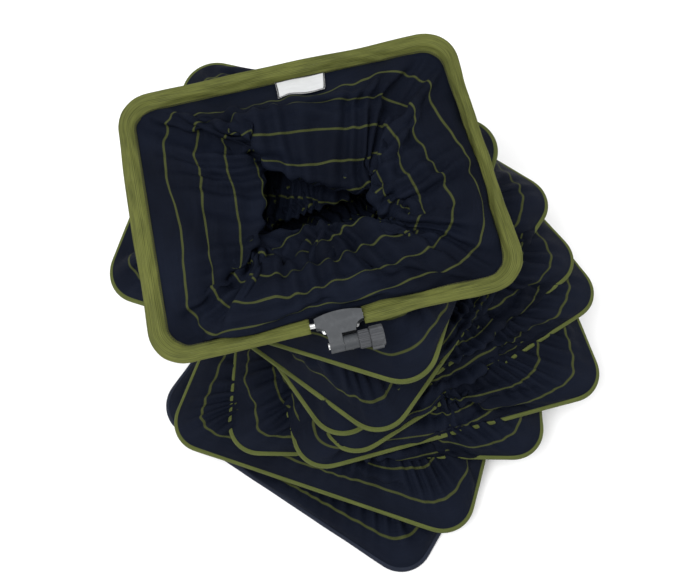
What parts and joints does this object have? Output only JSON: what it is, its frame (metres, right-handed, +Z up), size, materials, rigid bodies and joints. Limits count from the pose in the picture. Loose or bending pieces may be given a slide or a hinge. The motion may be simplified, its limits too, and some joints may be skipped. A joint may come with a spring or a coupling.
{
  "type": "keepnet",
  "caption": "Rectangular fishing keepnet, collapsed: cloth-bound hoops joined by fine mesh walls, a sleeved steel mouth frame and a tilting screw bracket.",
  "frame": {"origin": "middle of the bottom hoop's underside, on the ground", "axes": "+Z up out of the net's bottom; -Y towards the side of the mouth that carries the bracket; +X to the right as seen from there"},
  "size_m": [0.7694, 0.8006, 0.3756],
  "materials": {
    "navy_mesh": "fine woven net, satin",
    "navy_binding": "woven tape",
    "olive_binding": "woven tape",
    "olive_mesh": "open mesh over a rod",
    "white_cloth": "satin label",
    "fibre_rod": "smooth",
    "steel": "bright drawn rod",
    "brass": "turned",
    "black_plastic": "moulded, fine grain"
  },
  "bodies": {
    "base": {"base_hoop": "fibre_rod", "base_ferrule": "steel", "base_binding": "navy_binding", "base_panel": "navy_mesh"},
    "ring_1": {"hoop_1": "fibre_rod", "ferrule_1": "steel", "binding_1": "olive_binding", "net_1": "navy_mesh"},
    "ring_2": {"hoop_2": "fibre_rod", "ferrule_2": "steel", "binding_2": "olive_binding", "net_2": "navy_mesh"},
    "ring_3": {"hoop_3": "fibre_rod", "ferrule_3": "steel", "binding_3": "olive_binding", "net_3": "navy_mesh"},
    "ring_4": {"hoop_4": "fibre_rod", "ferrule_4": "steel", "binding_4": "olive_binding", "net_4": "navy_mesh"},
    "ring_5": {"hoop_5": "fibre_rod", "ferrule_5": "steel", "binding_5": "olive_binding", "net_5": "navy_mesh"},
    "ring_6": {"hoop_6": "fibre_rod", "ferrule_6": "steel", "binding_6": "olive_binding", "net_6": "navy_mesh"},
    "ring_7": {"hoop_7": "fibre_rod", "ferrule_7": "steel", "binding_7": "olive_binding", "net_7": "navy_mesh"},
    "mouth": {"mouth_frame": "steel", "mouth_sleeve": "olive_mesh", "label": "white_cloth", "bracket_body": "black_plastic", "bracket_back": "black_plastic", "clamp_screws": "steel", "pivot_pin": "steel", "lock_collar": "black_plastic", "net_8": "navy_mesh"},
    "tilt_hub": {"tilt_hub": "black_plastic", "thread_stud": "brass"},
    "knob": {"lock_gear": "black_plastic", "lock_knob": "black_plastic", "knob_cap": "black_plastic", "knob_spring": "steel"}
  },
  "joints": [
    {"name": "extend_1", "type": "slide", "parent": "base", "child": "ring_1", "axis": [-0.0294, -0.0721, 0.997], "range_m": [0, 0.375], "deforming": ["net_1"]},
    {"name": "extend_2", "type": "slide", "parent": "ring_1", "child": "ring_2", "axis": [-0.1566, -0.1488, 0.9764], "range_m": [0, 0.383], "deforming": ["net_2"]},
    {"name": "extend_3", "type": "slide", "parent": "ring_2", "child": "ring_3", "axis": [-0.1537, -0.0689, 0.9857], "range_m": [0, 0.377], "deforming": ["net_3"]},
    {"name": "extend_4", "type": "slide", "parent": "ring_3", "child": "ring_4", "axis": [0.0478, -0.1487, 0.9877], "range_m": [0, 0.377], "deforming": ["net_4"]},
    {"name": "extend_5", "type": "slide", "parent": "ring_4", "child": "ring_5", "axis": [0.0987, -0.072, 0.9925], "range_m": [0, 0.375], "deforming": ["net_5"]},
    {"name": "extend_6", "type": "slide", "parent": "ring_5", "child": "ring_6", "axis": [0.075, -0.0321, 0.9967], "range_m": [0, 0.373], "deforming": ["net_6"]},
    {"name": "extend_7", "type": "slide", "parent": "ring_6", "child": "ring_7", "axis": [0.3367, -0.0125, 0.9415], "range_m": [0, 0.321], "deforming": ["net_7"]},
    {"name": "extend_8", "type": "slide", "parent": "ring_7", "child": "mouth", "axis": [-0.0609, 0.0152, 0.998], "range_m": [0, 0.329], "deforming": ["net_8"]},
    {"name": "stud_tilt", "type": "hinge", "parent": "mouth", "child": "tilt_hub", "pos_m": [0.00336, -0.01537, 0.31812], "axis": [-0.9734, -0.2237, -0.049], "range_deg": [-15, 105]},
    {"name": "knob_pull", "type": "slide", "parent": "mouth", "child": "knob", "axis": [0.9734, 0.2237, 0.049], "range_m": [0, 0.004], "stiffness_N_per_m": 900, "deforming": ["knob_spring"]}
  ]
}
